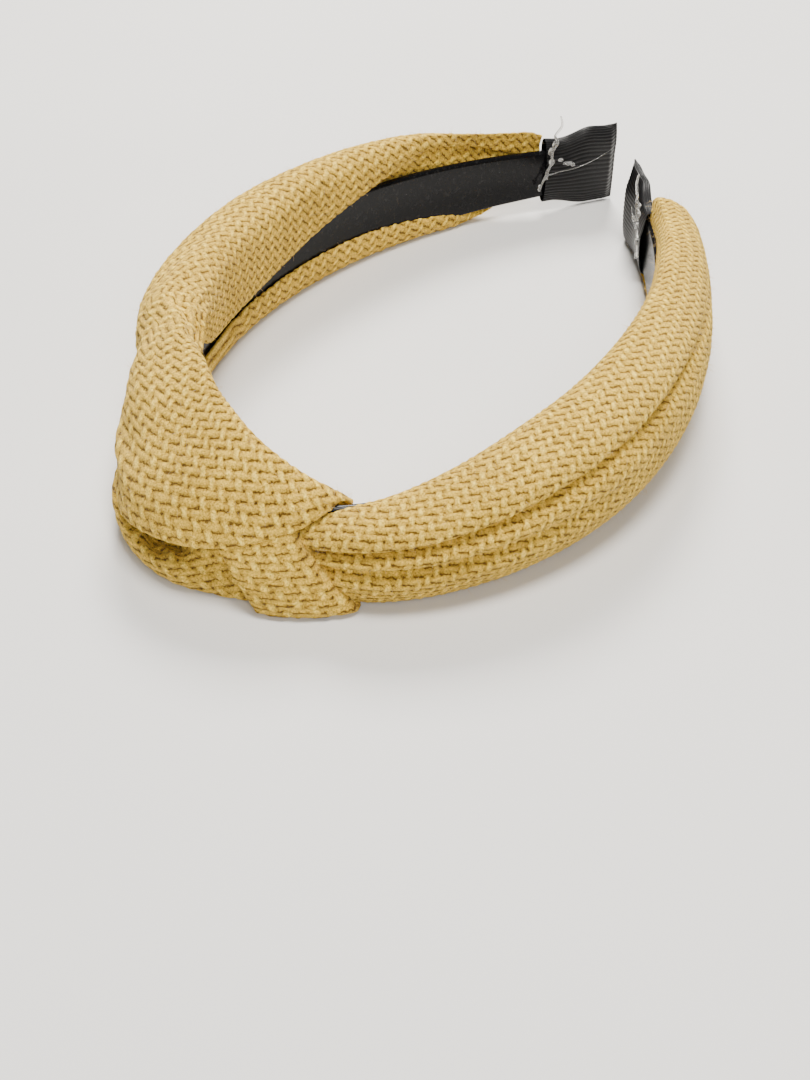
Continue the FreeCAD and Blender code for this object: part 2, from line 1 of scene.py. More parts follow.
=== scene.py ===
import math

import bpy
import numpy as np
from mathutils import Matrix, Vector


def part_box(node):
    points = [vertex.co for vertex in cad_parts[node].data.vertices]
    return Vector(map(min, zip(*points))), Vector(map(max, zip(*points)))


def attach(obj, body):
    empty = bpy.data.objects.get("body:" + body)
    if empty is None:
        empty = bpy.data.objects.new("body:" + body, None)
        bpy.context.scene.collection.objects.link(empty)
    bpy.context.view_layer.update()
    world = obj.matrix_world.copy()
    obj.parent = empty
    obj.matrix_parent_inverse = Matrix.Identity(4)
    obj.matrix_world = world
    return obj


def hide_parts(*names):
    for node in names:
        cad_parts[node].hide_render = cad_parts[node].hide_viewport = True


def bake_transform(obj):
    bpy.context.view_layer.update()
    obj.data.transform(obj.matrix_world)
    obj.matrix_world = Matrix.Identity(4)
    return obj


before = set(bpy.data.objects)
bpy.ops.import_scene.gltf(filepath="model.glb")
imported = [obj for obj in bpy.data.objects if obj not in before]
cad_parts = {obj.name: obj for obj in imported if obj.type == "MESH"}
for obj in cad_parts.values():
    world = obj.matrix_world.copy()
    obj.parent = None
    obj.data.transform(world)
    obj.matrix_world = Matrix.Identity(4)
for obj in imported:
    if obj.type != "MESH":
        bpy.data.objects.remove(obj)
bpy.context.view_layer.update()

# A knotted fabric hairband lying on its side: a springy plastic core, a cloth cover that
# is wrapped into a turban knot at the crown, ribbon caps on the tips and set glue.
# Lengths are in millimetres along the band until a mesh is made in metres.

RNG = np.random.default_rng(11)
MM = 0.001

# ---------------------------------------------------------------- driving dimensions
CORE_THICKNESS = 1.8
CORE_MIDDLE = 10.4
CROWN_ARC = (35.0, math.radians(56.0))
ARCS = {
    "right": (CROWN_ARC, (81.0, math.radians(34.0)), (104.0, math.radians(39.0))),
    "left": (CROWN_ARC, (95.0, math.radians(36.5)), (113.0, math.radians(32.5))),
}
STRAIGHT = {"right": 22.0, "left": 27.5}
SIGN = {"right": 1.0, "left": -1.0}
CORE_HALF_WIDTH = 9.0
CORE_TIP_HALF_WIDTH = 5.5
# The strip narrows from this far along Y, measured from the middle of its crown.
CORE_TAPER_START = 90.0
CORE_EDGE_RADIUS = 0.88
CORE_END = 0.8
CORE_STEP = 0.9
HINGE_GAP = 0.7
# A stretch along an arm beside the hinge, between these distances, where the sleeve turns from the crown to
# the arm.
HINGE_TURN = (31.0, 52.0)
RIBBON_LENGTH = 16.0
RIBBON_GAP = 0.4
RIBBON_OVERHANG = 1.1
RIBBON_TUCK = {"left": 1.8, "right": 3.2}
RIBBON_CURL = {"left": 0.0, "right": 1.4}
RIBBON_SKIN = {"left": -2.5, "right": -2.7}
RIBBON_RIBS = 52
RIB_RELIEF = 0.11
RIBBON_SQUARENESS = 0.28
RIBBON_STEP = 0.22
GLUE_VOXEL = 0.12
FILM_THICKNESS = 0.18
FILM_CLEARANCE = 0.03
FILM_START = 44.0
FILM_END = {"left": 138.0, "right": 128.0}
FILM_HEIGHTS = (3.6, 5.6)
FIBRE_COUNT = 2600
FIBRE_LENGTH = 2.2
FIBRE_RADIUS = 0.030

# Spacing of a cloth's points along the band, and how many there are round its section.
CLOTH_STEP = {"left": 0.44, "right": 0.38, "knot": 0.30}
CLOTH_AROUND = {"left": 200, "right": 196, "knot": 80}
RIM_RADIUS = 1.1
COLUMN_PITCH = 1.80
ROW_PITCH = 1.70
YARN_RELIEF = 0.50
YARN_MEAN_HEIGHT = 0.62
# The right sleeve shows the weave a little finer than the left one.
RIGHT_FINENESS = 1.13
# Each cloth laid flat, estimated along its visible folds: width and length in metres.
TONGUE_FLAT = (0.022, 0.026)
UNDER_WRAP_FLAT = (0.024, 0.052)
INNER_PASS_FLAT = (0.022, 0.055)
UV_PER_MM = 0.01
# The weave repeats over three columns, and these are in columns and rows.
WEFT_MIDDLE = 2.0
WARP_MIDDLE = 0.5
WEFT_LEVEL = 0.84
WEFT_HALF_WIDTH = 0.52
WEFT_HALF_LENGTH = 1.62
WARP_HALF_LENGTH = 0.88
WARP_HALF_WIDTH = 0.46

# The photograph's viewing place, from the middle of the crown, solved from the outlines.
EYE = (161.5, -157.9, 218.6)
EYE_HEADING = math.radians(36.80)
EYE_PITCH = math.radians(43.86)
EYE_LENS = 53.33

crown_low, crown_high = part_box("core_crown")
SHIFT = np.array([
    500.0 * (crown_low[0] + crown_high[0]),
    1000.0 * crown_low[1] + 0.5 * CORE_THICKNESS,
    0.0,
])


# ---------------------------------------------------------------- the band's own frame
def line_length(side):
    """Length of the band's line from the middle of the crown to a tip."""
    return sum(radius * angle for radius, angle in ARCS[side]) + STRAIGHT[side]


def arm_line(distance, arcs):
    """Place and heading along an arm that turns left as it goes."""
    left = np.array(distance, float)
    x = np.zeros_like(left)
    y = np.zeros_like(left)
    heading = np.zeros_like(left)
    for radius, angle in arcs:
        turn = np.clip(left / radius, 0.0, angle)
        x += radius * (np.sin(heading + turn) - np.sin(heading))
        y += radius * (np.cos(heading) - np.cos(heading + turn))
        heading = heading + turn
        left = left - radius * turn
    return x + left * np.cos(heading), y + left * np.sin(heading), heading


def band_point(distance, outward, height):
    """Points in the row frame, mm. The distance along the band is negative on the left."""
    distance, outward, height = np.broadcast_arrays(distance, outward, height)
    points = np.zeros(distance.shape + (3,))
    for side in ("right", "left"):
        sign = SIGN[side]
        x, y, heading = arm_line(np.maximum(sign * distance, 0.0), ARCS[side])
        here = distance >= 0.0 if side == "right" else distance < 0.0
        points[..., 0] = np.where(here, sign * (x + outward * np.sin(heading)), points[..., 0])
        points[..., 1] = np.where(here, y - outward * np.cos(heading), points[..., 1])
    points[..., 2] = height
    return points + SHIFT


def spline(knots, values, at):
    """Smooth curve through the values at the knots, read at the places asked for."""
    knots = np.asarray(knots, float)
    values = np.asarray(values, float)
    slopes = np.gradient(values, knots, axis=0)
    at = np.clip(np.asarray(at, float), knots[0], knots[-1])
    i = np.clip(np.searchsorted(knots, at) - 1, 0, len(knots) - 2)
    width = knots[i + 1] - knots[i]
    t = (at - knots[i]) / width
    extra = (1,) * (values.ndim - 1)
    t = t.reshape(t.shape + extra)
    width = width.reshape(width.shape + extra)
    start = (2 * t ** 3 - 3 * t ** 2 + 1) * values[i] + (t ** 3 - 2 * t ** 2 + t) * width * slopes[i]
    end = (3 * t ** 2 - 2 * t ** 3) * values[i + 1] + (t ** 3 - t ** 2) * width * slopes[i + 1]
    return start + end


def smoothstep(value):
    """An even rise from 0 to 1."""
    value = np.clip(value, 0.0, 1.0)
    return value * value * (3.0 - 2.0 * value)


def bump(value, centre, width):
    """A rounded hill of height 1."""
    return np.exp(-(((value - centre) / width) ** 2))


# ---------------------------------------------------------------- woven cloth
def section_rows(controls, count, anchor):
    """Evenly spaced points on each row's section path, and their way round from the anchor."""
    rows = np.zeros((len(controls), count, 2))
    around = np.zeros((len(controls), count))
    for index, control in enumerate(controls):
        chord = np.maximum(np.linalg.norm(np.diff(control, axis=0), axis=1), 0.02)
        knots = np.concatenate([[0.0], np.cumsum(np.sqrt(chord) * math.sqrt(chord.mean()))])
        fine = np.linspace(0.0, knots[-1], 260)
        path = spline(knots, control, fine)
        length = np.concatenate([[0.0], np.cumsum(np.linalg.norm(np.diff(path, axis=0), axis=1))])
        even = np.linspace(0.0, length[-1], count)
        rows[index, :, 0] = np.interp(even, length, path[:, 0])
        rows[index, :, 1] = np.interp(even, length, path[:, 1])
        around[index] = even - np.interp(knots[anchor], fine, length)
    return rows, around


def way_round(outward, height, around):
    """The way round each row measured again once its folds are in, from the same anchor."""
    step = np.hypot(np.diff(outward, axis=1), np.diff(height, axis=1))
    length = np.concatenate([np.zeros((len(step), 1)), np.cumsum(step, axis=1)], axis=1)
    for row, old in zip(length, around):
        row -= np.interp(0.0, old, row)
    return length


def surface_normals(points):
    """Unit normals of a grid of points."""
    normal = np.cross(np.gradient(points, axis=0), np.gradient(points, axis=1))
    return normal / np.maximum(np.linalg.norm(normal, axis=-1, keepdims=True), 1e-9)


def lens(value, half):
    """Round profile of a yarn, from 1 in its middle to 0 at half its size."""
    return np.sqrt(np.clip(1.0 - (value / half) ** 2, 0.0, 1.0))


def yarn_height(u, v):
    """Height of the yarns, 0 to 1: weft floats over two columns, then a warp on top."""
    column = u / COLUMN_PITCH
    row = v / ROW_PITCH
    height = np.zeros_like(column)
    for neighbour in (-1.0, 0.0, 1.0):
        this_row = np.floor(row) + neighbour
        across = row - this_row - 0.5
        phase = column + this_row
        from_float = np.mod(phase - WEFT_MIDDLE + 1.5, 3.0) - 1.5
        from_warp = np.mod(phase - WARP_MIDDLE + 1.5, 3.0) - 1.5
        weft = WEFT_LEVEL * lens(across, WEFT_HALF_WIDTH) * lens(from_float, WEFT_HALF_LENGTH)
        warp = lens(across, WARP_HALF_LENGTH) * lens(from_warp, WARP_HALF_WIDTH)
        height = np.maximum(height, np.maximum(weft, warp))
    return height


def wander(u, v):
    """Slow drift of hand-stretched cloth, so that no row of yarn is ruler straight."""
    du = 0.35 * np.sin(v / 7.3 + 0.4) + 0.22 * np.sin(v / 3.1 + u / 11.0) + 0.15 * np.sin(u / 4.7)
    dv = 0.40 * np.sin(u / 8.9 + 1.1) + 0.22 * np.sin(u / 3.7 - v / 13.0) + 0.12 * np.sin(v / 5.3)
    return u + du, v + dv


def bias_map(distance, around, angle):
    """Cloth coordinates where the weft leaves the band's line by an angle, in radians."""
    step = np.gradient(distance)
    guide = np.cumsum(np.exp(1j * angle) * step)
    place = guide[:, None] + 1j * around * np.exp(1j * angle)[:, None]
    return place.real, place.imag


def add_object(name, data):
    """A named object in the scene."""
    made = bpy.data.objects.new(name, data)
    bpy.context.scene.collection.objects.link(made)
    return made


def quad_mesh(name, points, quads, material):
    """A smooth piece from points in millimetres and the corners of its faces."""
    mesh = bpy.data.meshes.new(name)
    mesh.vertices.add(points.size // 3)
    mesh.vertices.foreach_set("co", (points.reshape(-1, 3) * MM).ravel())
    mesh.loops.add(quads.size)
    mesh.loops.foreach_set("vertex_index", quads.ravel())
    mesh.polygons.add(len(quads))
    mesh.polygons.foreach_set("loop_start", np.arange(len(quads)) * 4)
    mesh.polygons.foreach_set("loop_total", np.full(len(quads), 4))
    mesh.polygons.foreach_set("use_smooth", np.ones(len(quads), bool))
    mesh.update(calc_edges=True)
    mesh.materials.append(material)
    return add_object(name, mesh)


def grid_mesh(name, points, u, v, weave, material):
    """A piece from a grid of points, with its cloth coordinates and yarn heights."""
    rows, columns = points.shape[:2]
    index = np.arange(rows * columns).reshape(rows, columns)
    quads = np.stack([index[:-1, :-1], index[1:, :-1], index[1:, 1:], index[:-1, 1:]], axis=-1)
    quads = quads.reshape(-1, 4)
    piece = quad_mesh(name, points, quads, material)
    layer = piece.data.uv_layers.new(name="cloth")
    flat = np.stack([u.ravel(), v.ravel()], axis=1)[quads.ravel()] * UV_PER_MM
    layer.data.foreach_set("uv", flat.ravel())
    attribute = piece.data.attributes.new("weave", "FLOAT", "POINT")
    attribute.data.foreach_set("value", weave.ravel())
    return piece


def woven(name, points, u, v, material, fade=1.0):
    """A cloth whose surface is raised into its yarns."""
    u, v = wander(u, v)
    height = yarn_height(u, v)
    lift = YARN_RELIEF * (height - YARN_MEAN_HEIGHT) * fade
    raised = points + surface_normals(points) * lift[..., None]
    raised[..., 2] = np.maximum(raised[..., 2], 0.0)
    return grid_mesh(name, raised, u, v, height, material)


# ---------------------------------------------------------------- cloth sections
# The point of a long cloth's section that lies over the core: the way round starts there.
RIDGE = 7


def arm_section(outward, top, lip_outward, lip_height, hem_height, hem_inward, floor=0.0, tail=None):
    """Section of an arm's cover, from the rolled hem, round the outside, to the lip."""
    drop = top - lip_height
    if tail is None:
        tail = (lip_outward + 1.5, lip_height + 0.7)
    return [
        (-0.42 * hem_inward, floor + hem_height - 1.2),
        (-0.72 * hem_inward, floor + hem_height),
        (-hem_inward, floor + 0.5 * hem_height),
        (0.05 * hem_inward, floor + 0.25),
        (0.62 * outward, floor + 0.35),
        (outward, 0.45 * top),
        (0.77 * outward, 0.87 * top),
        (0.12 * outward + 0.1, top),
        (lip_outward, top - min(3.2, 0.4 * drop)),
        (lip_outward, lip_height + 0.12 * drop),
        (lip_outward + 1.0, lip_height),
        tail,
    ]


def wrap_section(edge, sole, belly, shoulder, ridge, end):
    """Section of the wrap over the knot, from its turned-under lower edge to its inner end.

    The edge is turned further under where it stands further out from the core.
    """
    turned = min(1.0, max(0.1, 0.125 * (edge[0] + 4.0)))
    return [
        (edge[0] - 3.2 * turned, edge[1] + 1.4 * turned),
        (edge[0] - 1.6 * turned, edge[1] + 0.2 * turned),
        (edge[0] - 0.4 * turned, edge[1] - 0.25 * turned),
        edge,
        sole,
        belly,
        shoulder,
        ridge,
        (0.5 * (ridge[0] + end[0]) - 0.8, 0.35 * ridge[1] + 0.65 * end[1]),
        (end[0], end[1]),
        (end[0] + 1.2, end[1] - 0.8),
        (end[0] + 1.8, end[1] - 0.2),
    ]


def left_controls():
    """Distances and sections of the left cloth, from the tip over the knot to its point."""
    tip = 2.0 - (line_length("left") - RIBBON_LENGTH - RIBBON_GAP)
    arm = [
        # distance, outward, top, lip's place outward, lip height, hem height, hem inward,
        # then near the tip the lowest height, and where the cloth ends behind the lip
        (tip, 3.2, 20.5, 1.7, 13.6, 2.6, -1.6, 6.0),
        (tip + 1.6, 4.4, 21.3, 1.6, 14.2, 2.6, -1.6, 6.0),
        (-160.0, 5.2, 22.4, 1.6, 16.0, 2.8, -1.5, 5.0, (1.9, 15.2)),
        (-152.0, 6.4, 23.6, 1.7, 19.4, 3.4, -0.4, 1.6, (1.5, 15.8)),
        (-146.0, 7.6, 24.8, 1.3, 21.4, 4.2, 0.8, 0.2, (1.3, 16.4)),
        (-137.0, 9.2, 26.8, 0.0, 23.2, 5.8, 1.4, 0.0, (1.2, 17.0)),
        (-123.0, 10.8, 28.2, -2.0, 19.8, 7.4, 1.7, 0.0, (1.2, 18.2)),
        (-105.0, 11.4, 29.5, -2.8, 15.6, 8.1, 1.8),
        (-90.0, 11.6, 30.4, -3.4, 12.2, 8.1, 1.8),
        (-72.0, 11.2, 30.8, -4.0, 11.2, 8.0, 1.8),
        (-56.0, 10.2, 31.2, -5.0, 14.0, 7.4, 2.0),
        (-46.0, 8.0, 31.8, -6.2, 20.4, 6.4, 2.0),
    ]
    wrap = [
        # distance, then (outward, height) of edge, sole, belly, shoulder, ridge and end
        (-38.0, (-1.0, 0.3), (3.6, 2.0), (5.4, 16.0), (3.4, 28.0), (-4.8, 32.6), (-7.4, 20.0)),
        (-31.0, (3.0, 0.6), (6.4, 6.0), (6.8, 17.0), (3.4, 28.0), (-6.6, 33.0), (-7.2, 18.0)),
        (-24.5, (7.0, 3.4), (8.6, 8.5), (8.0, 18.5), (3.2, 27.6), (-8.6, 32.9), (-7.2, 18.0)),
        (-18.0, (10.4, 7.0), (11.0, 10.5), (9.8, 17.5), (2.8, 26.8), (-9.0, 32.4), (-6.8, 18.5)),
        (-11.0, (13.8, 10.6), (13.6, 12.6), (11.6, 17.5), (2.6, 25.8), (-8.6, 31.2), (-6.4, 19.0)),
        (-3.0, (13.8, 12.8), (13.4, 14.4), (10.4, 18.6), (2.2, 25.0), (-7.8, 30.0), (-6.2, 19.0)),
        (3.0, (12.0, 13.6), (11.6, 15.2), (8.6, 19.0), (1.8, 24.4), (-6.6, 28.6), (-5.6, 18.8)),
        (11.0, (8.6, 16.0), (8.0, 17.0), (5.6, 19.8), (0.9, 23.6), (-4.9, 26.2), (-4.8, 18.4)),
        (18.0, (4.6, 17.9), (4.2, 18.6), (2.8, 20.1), (-0.1, 22.1), (-3.8, 23.2), (-4.3, 17.6)),
        (22.0, (1.6, 19.3), (1.2, 19.8), (0.4, 20.7), (-1.0, 21.5), (-3.1, 21.6), (-4.2, 17.0)),
        (25.0, (-1.4, 19.4), (-1.6, 19.6), (-1.9, 19.8), (-2.4, 19.8), (-3.4, 19.4), (-4.2, 16.2)),
        (27.0, (-2.5, 17.6), (-2.7, 17.8), (-2.9, 17.9), (-3.2, 17.9), (-3.7, 17.5), (-4.0, 16.0)),
    ]
    distances = [row[0] for row in arm] + [row[0] for row in wrap]
    sections = [arm_section(*row[1:]) for row in arm] + [wrap_section(*row[1:]) for row in wrap]
    return np.array(distances), np.array(sections)


def right_controls():
    """Distances and sections of the right cloth, from under the knot to the tip."""
    tip = line_length("right") - RIBBON_LENGTH - RIBBON_GAP
    arm = [
        # distance, outward, top, lip's place outward, lip height, hem height, hem inward
        (17.0, 5.0, 17.0, -1.4, 9.0, 6.0, 2.0),
        (21.0, 7.0, 18.2, -1.5, 9.0, 6.4, 2.2),
        (26.0, 9.5, 19.7, -1.6, 9.0, 7.0, 2.4),
        (36.0, 12.8, 21.4, -1.7, 9.4, 7.4, 2.4),
        (48.0, 15.0, 23.6, -2.0, 10.0, 7.4, 2.4),
        (62.0, 16.6, 26.6, -1.8, 11.0, 7.4, 2.4),
        (78.0, 17.2, 28.7, -1.0, 12.0, 7.4, 2.4),
        (95.0, 16.3, 29.8, -0.5, 14.0, 7.4, 2.4),
        (112.0, 14.2, 29.5, -0.3, 17.0, 7.0, 2.3),
        (130.0, 11.7, 27.5, -0.6, 19.0, 5.8, 1.8),
        (145.0, 10.8, 24.7, -0.2, 18.0, 4.2, 0.9),
        (153.0, 10.4, 23.4, 0.0, 16.0, 3.4, -0.6),
        (tip - 1.0, 9.0, 22.1, 0.2, 15.0, 3.2, -1.2),
        (tip + 1.2, 6.4, 20.2, 0.6, 14.0, 3.0, -1.4),
    ]
    return np.array([row[0] for row in arm]), np.array([arm_section(*row[1:]) for row in arm])


def along(start, end, step):
    """Even places from start to end, about a step apart."""
    return np.linspace(start, end, int(round((end - start) / step)) + 1)


def left_cloth(material):
    """One cloth: the left arm's cover runs on as the wrap over the knot."""
    knots, sections = left_controls()
    distance = along(knots[0], knots[-1], CLOTH_STEP["left"])
    rows, around = section_rows(spline(knots, sections, distance), CLOTH_AROUND["left"], RIDGE)
    outward, height = rows[..., 0], rows[..., 1]
    here = distance[:, None]

    # the pinch on the head side where the sleeve turns into the wrap, and the soft
    # gathers that run out of it over the arm
    gathered = bump(here, -43.0, 11.0) * smoothstep((height - 14.0) / 12.0)
    fan = np.sin(1.15 * around + 0.16 * here) + 0.6 * np.sin(2.3 * around - 0.11 * here + 1.0)
    outward = outward + 0.32 * gathered * fan
    height = height - 0.26 * gathered * fan
    valley = bump(around, -5.0 - 0.14 * (here + 50.0), 3.2) * bump(here, -66.0, 22.0)
    height = height - 1.0 * valley

    # two small tucks where the wrap turns the knot's left end
    tuck = bump(here, -20.0, 7.0) * smoothstep((outward - 6.0) / 4.0)
    outward = outward + 0.8 * tuck * np.sin(0.75 * height + 0.9)

    points = band_point(here, outward, height)
    turn = smoothstep((distance + 84.0) / 78.0)
    angle = np.radians(48.0 - 80.0 * turn)
    u, v = bias_map(distance, around, angle)
    fade = 0.3 + 0.7 * smoothstep((27.0 - here) / 6.0)
    return woven("cover_left_cloth", points, u, v, material, fade)


def right_cloth(material):
    """The right arm's cover, drawn into lengthwise folds as it leaves the knot."""
    knots, sections = right_controls()
    distance = along(knots[0], knots[-1], CLOTH_STEP["right"])
    rows, around = section_rows(spline(knots, sections, distance), CLOTH_AROUND["right"], RIDGE)
    outward, height = rows[..., 0], rows[..., 1]
    here = distance[:, None]
    outside = smoothstep((outward - 2.0) / 4.0)
    top = spline(knots, sections[:, RIDGE, 1], distance)[:, None]
    share = height / top
    upper = bump(share, 0.71 + 0.0006 * (here - 30.0), 0.052) * (1.0 - smoothstep((here - 85.0) / 45.0))
    lower = bump(share, 0.50, 0.070) * (1.0 - smoothstep((here - 45.0) / 40.0))
    swell = bump(share, 0.88, 0.12) * bump(here, 34.0, 26.0)
    outward = outward - outside * (2.9 * upper + 2.4 * lower - 0.7 * swell)
    around = way_round(outward, height, around)
    points = band_point(here, outward, height)
    angle = np.radians(spline([20.0, 40.0, 110.0, 160.0], [14.0, 18.0, 39.0, 39.0], distance))
    u, v = bias_map(distance, around, angle)
    return woven("cover_right_cloth", points, RIGHT_FINENESS * u, -RIGHT_FINENESS * v, material)


def flap_surface(corners, bulge, skirt):
    """A flap of cloth over four corners, crowned between them, its rims rolled under.

    The corners are (distance, outward, height), top left, top right, bottom right and
    bottom left. The skirt is how far the turned rims run back in under the flap.
    """
    corners = np.array(corners, float)
    wide = 0.5 * (np.linalg.norm(corners[1] - corners[0]) + np.linalg.norm(corners[2] - corners[3]))
    tall = 0.5 * (np.linalg.norm(corners[3] - corners[0]) + np.linalg.norm(corners[2] - corners[1]))
    step = CLOTH_STEP["knot"]
    turned = np.arange(-abs(skirt), 0.0, step)
    across = np.concatenate([turned, along(0.0, wide, step), wide - turned[::-1]])[None, :]
    down = np.concatenate([turned, along(0.0, tall, step), tall - turned[::-1]])[:, None]
    s = np.clip(across / wide, 0.0, 1.0)[..., None]
    t = np.clip(down / tall, 0.0, 1.0)[..., None]
    flat = (1 - t) * ((1 - s) * corners[0] + s * corners[1]) + t * ((1 - s) * corners[3] + s * corners[2])
    crown = np.sqrt(16.0 * s * (1 - s) * t * (1 - t))[..., 0]
    under = rolled_under(across, wide) + rolled_under(down, tall)
    outward = flat[..., 1] + bulge * crown - math.copysign(1.0, skirt) * under
    return flat[..., 0], outward, flat[..., 2], across + 0.0 * down, down + 0.0 * across


def rolled_under(place, size):
    """How far a rim has rolled back, by its distance from the two edges, in mm."""
    inside = np.minimum(place, size - place)
    near = np.clip(1.0 - inside / RIM_RADIUS, 0.0, 1.0)
    return RIM_RADIUS * (1.0 - np.sqrt(1.0 - near ** 2)) + np.maximum(-inside, 0.0)


def flap(name, corners, bulge, skirt, slant, material):
    """A woven flap whose weft slants by so many degrees."""
    distance, outward, height, across, down = flap_surface(corners, bulge, skirt)
    points = band_point(distance, outward, height)
    place = (across + 1j * down) * np.exp(1j * math.radians(slant))
    points = points[::-1]
    return woven(name, points, place.real[::-1], -place.imag[::-1], material)


def tongue_cloth(material):
    """The pointed pass in front, over the start of the right sleeve."""
    corners = [(4.4, 9.9, 15.4), (15.8, 5.4, 18.2), (27.0, 9.7, 0.5), (11.6, 11.8, 0.4)]
    return flap("knot_tongue_cloth", corners, 1.2, 3.4, -10.0, material)


def inner_pass_cloth(material):
    """The pass that closes the knot on the head side."""
    corners = [(25.0, -2.4, 17.4), (-29.5, -2.4, 17.8), (-29.5, -2.4, 0.5), (25.0, -2.4, 0.5)]
    return flap("knot_inner_pass_cloth", corners, -3.0, -1.4, 12.0, material)


def under_wrap_cloth(material):
    """The cloth under the wrap: a rolled lip round a small pocket, then the lower pass."""
    stations = [
        # distance, then (outward, height) of bottom, belly, rim, wall, floor and end
        (-32.0, (2.0, 0.5), (5.0, 5.0), (5.0, 10.5), (3.0, 11.5), (1.0, 11.0), (0.2, 10.5)),
        (-24.0, (6.8, 0.4), (9.2, 5.4), (8.8, 10.2), (6.8, 10.6), (4.6, 9.6), (3.0, 10.5)),
        (-17.0, (10.0, 0.3), (12.6, 5.0), (12.6, 9.2), (10.6, 9.2), (7.8, 8.0), (6.0, 10.0)),
        (-11.0, (11.8, 0.3), (14.0, 3.8), (13.6, 7.2), (11.2, 6.6), (8.3, 5.0), (6.5, 9.5)),
        (-6.0, (12.2, 0.3), (13.9, 3.0), (13.4, 6.0), (11.0, 5.0), (8.0, 3.8), (6.4, 10.0)),
        (-1.5, (11.6, 0.3), (13.2, 2.8), (12.8, 6.4), (11.3, 7.4), (9.6, 7.4), (8.6, 12.0)),
        (4.0, (10.0, 0.3), (10.4, 2.8), (9.4, 7.4), (8.6, 10.0), (7.8, 12.0), (7.2, 14.0)),
        (8.0, (9.0, 0.3), (9.0, 2.8), (8.2, 7.4), (7.4, 10.0), (6.8, 12.0), (6.2, 14.0)),
        (13.0, (7.4, 0.3), (7.6, 2.8), (7.0, 7.8), (6.4, 10.6), (5.8, 12.6), (5.2, 14.2)),
    ]
    knots = np.array([row[0] for row in stations])
    sections = np.array([[(row[1][0] - 3.0, 0.3)] + [tuple(pair) for pair in row[1:]] for row in stations])
    distance = along(knots[0], knots[-1], CLOTH_STEP["knot"])
    belly = 2
    rows, around = section_rows(spline(knots, sections, distance), CLOTH_AROUND["knot"], belly)
    outward, height = rows[..., 0], rows[..., 1]
    here = distance[:, None]
    inside = bump(here, -5.5, 6.0) * smoothstep((around - 3.5) / 2.5)
    height = height + 1.0 * inside * np.sin(0.9 * here + 0.8 * around)
    points = band_point(here, outward, height)
    place = (here + 1j * around) * np.exp(1j * math.radians(-26.0))
    return woven("knot_under_wrap_cloth", points, place.real, place.imag, material)


# ---------------------------------------------------------------- materials
def new_material(name):
    """A material, its node tree, its shader and the object's own coordinates."""
    material = bpy.data.materials.new(name)
    material.use_nodes = True
    tree = material.node_tree
    place = node(tree, "ShaderNodeTexCoord").outputs["Object"]
    return material, tree, tree.nodes["Principled BSDF"], place


def node(tree, kind, **values):
    """A new node with its own settings."""
    made = tree.nodes.new(kind)
    for key, value in values.items():
        setattr(made, key, value)
    return made


def ramp(tree, source, stops):
    """A colour ramp over (position, colour) stops."""
    made = node(tree, "ShaderNodeValToRGB")
    elements = made.color_ramp.elements
    while len(elements) < len(stops):
        elements.new(0.5)
    for element, (position, colour) in zip(elements, stops):
        element.position = position
        element.color = (*colour, 1.0)
    tree.links.new(source, made.inputs["Fac"])
    return made.outputs["Color"]


def noise(tree, coordinates, scale, detail=3.0, roughness=0.55):
    """Cloudy noise over an object's own coordinates."""
    made = node(tree, "ShaderNodeTexNoise")
    made.inputs["Scale"].default_value = scale
    made.inputs["Detail"].default_value = detail
    made.inputs["Roughness"].default_value = roughness
    tree.links.new(coordinates, made.inputs["Vector"])
    return made.outputs["Fac"]


def multiply_colour(tree, share, first, second):
    """The first colour multiplied by a share of the second."""
    made = node(tree, "ShaderNodeMix", data_type="RGBA", blend_type="MULTIPLY")
    made.inputs[0].default_value = share
    tree.links.new(first, made.inputs[6])
    tree.links.new(second, made.inputs[7])
    return made.outputs[2]


def calculate(tree, operation, *values):
    """A Math node, whose inputs are numbers or the outputs of other nodes."""
    made = node(tree, "ShaderNodeMath", operation=operation)
    for socket, value in zip(made.inputs, values):
        if isinstance(value, (int, float)):
            socket.default_value = value
        else:
            tree.links.new(value, socket)
    return made.outputs[0]


def vary_roughness(tree, shader, source, start, end):
    """Roughness that runs from start to end as the source rises."""
    spread = node(tree, "ShaderNodeMapRange")
    spread.inputs["To Min"].default_value = start
    spread.inputs["To Max"].default_value = end
    tree.links.new(source, spread.inputs["Value"])
    tree.links.new(spread.outputs["Result"], shader.inputs["Roughness"])


def raise_surface(tree, shader, height, strength, distance):
    """Relief too fine for the mesh, in the shading."""
    relief = node(tree, "ShaderNodeBump")
    relief.inputs["Strength"].default_value = strength
    relief.inputs["Distance"].default_value = distance
    tree.links.new(height, relief.inputs["Height"])
    tree.links.new(relief.outputs["Normal"], shader.inputs["Normal"])


def lens_nodes(tree, value, half):
    """The profile that lens gives, in nodes."""
    share = calculate(tree, "DIVIDE", value, half)
    rest = calculate(tree, "SUBTRACT", 1.0, calculate(tree, "MULTIPLY", share, share))
    return calculate(tree, "SQRT", calculate(tree, "MAXIMUM", rest, 0.0))


